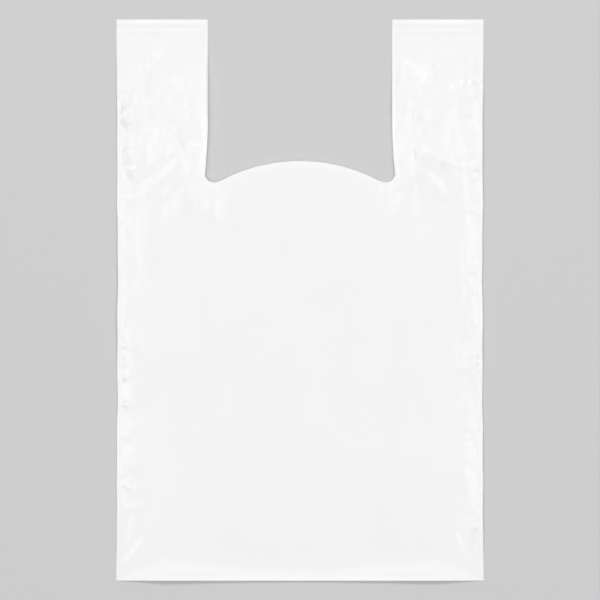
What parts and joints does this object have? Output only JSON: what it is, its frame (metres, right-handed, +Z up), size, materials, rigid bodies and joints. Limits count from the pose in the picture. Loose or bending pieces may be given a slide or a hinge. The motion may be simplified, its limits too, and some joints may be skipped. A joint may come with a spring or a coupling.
{
  "type": "carrier bag",
  "caption": "Flat-folded vest-type plastic carrier bag: gusseted film tube, welded ends, die-cut mouth between two strap handles.",
  "frame": {"origin": "under the middle of the folded bag, on the surface that its back panel lies on", "axes": "+X across the bag, +Y from the bottom weld towards the strap ends, +Z up out of the front panel"},
  "size_m": [0.3, 0.458, 0.0027],
  "materials": {
    "white_film": "satin, slightly translucent film"
  },
  "bodies": {
    "root": {"bag": "white_film"}
  },
  "joints": []
}
